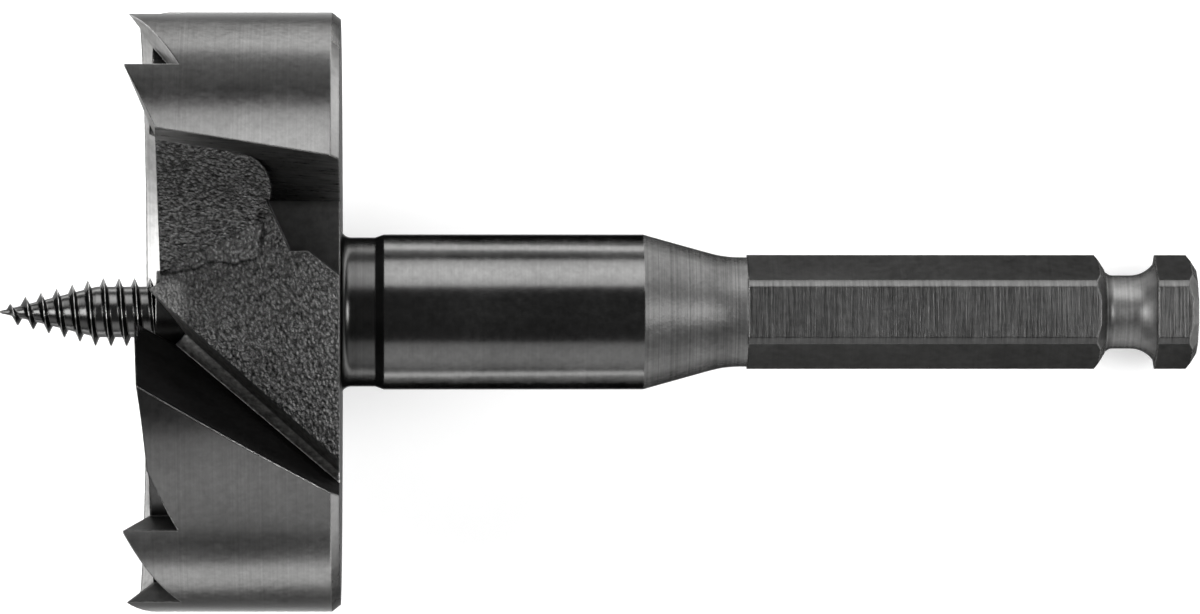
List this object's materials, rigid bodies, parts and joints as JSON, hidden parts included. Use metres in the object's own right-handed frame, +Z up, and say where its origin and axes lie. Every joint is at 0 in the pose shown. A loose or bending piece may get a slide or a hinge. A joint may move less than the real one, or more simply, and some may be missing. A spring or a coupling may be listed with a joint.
{
  "type": "self-feed wood boring bit",
  "caption": "Self-feed wood boring bit: toothed round head with a cutting lip and chip throat, lead screw, round collar and hex shank with a chuck groove.",
  "frame": {"origin": "on the surface that the bit lies on, at the middle of its length and width", "axes": "+X along the bit as it lies, from the lead screw to the shank; +Y across the head; +Z up, with the throat on top"},
  "size_m": [0.1262, 0.065, 0.0673],
  "materials": {
    "black_steel": "black oxide over forged, turned and milled steel",
    "screw_steel": "glossy black oxide",
    "set_steel": "satin black oxide"
  },
  "bodies": {
    "root": {"bit_body": "black_steel", "feed_screw": "screw_steel", "set_screw": "set_steel"}
  },
  "joints": []
}
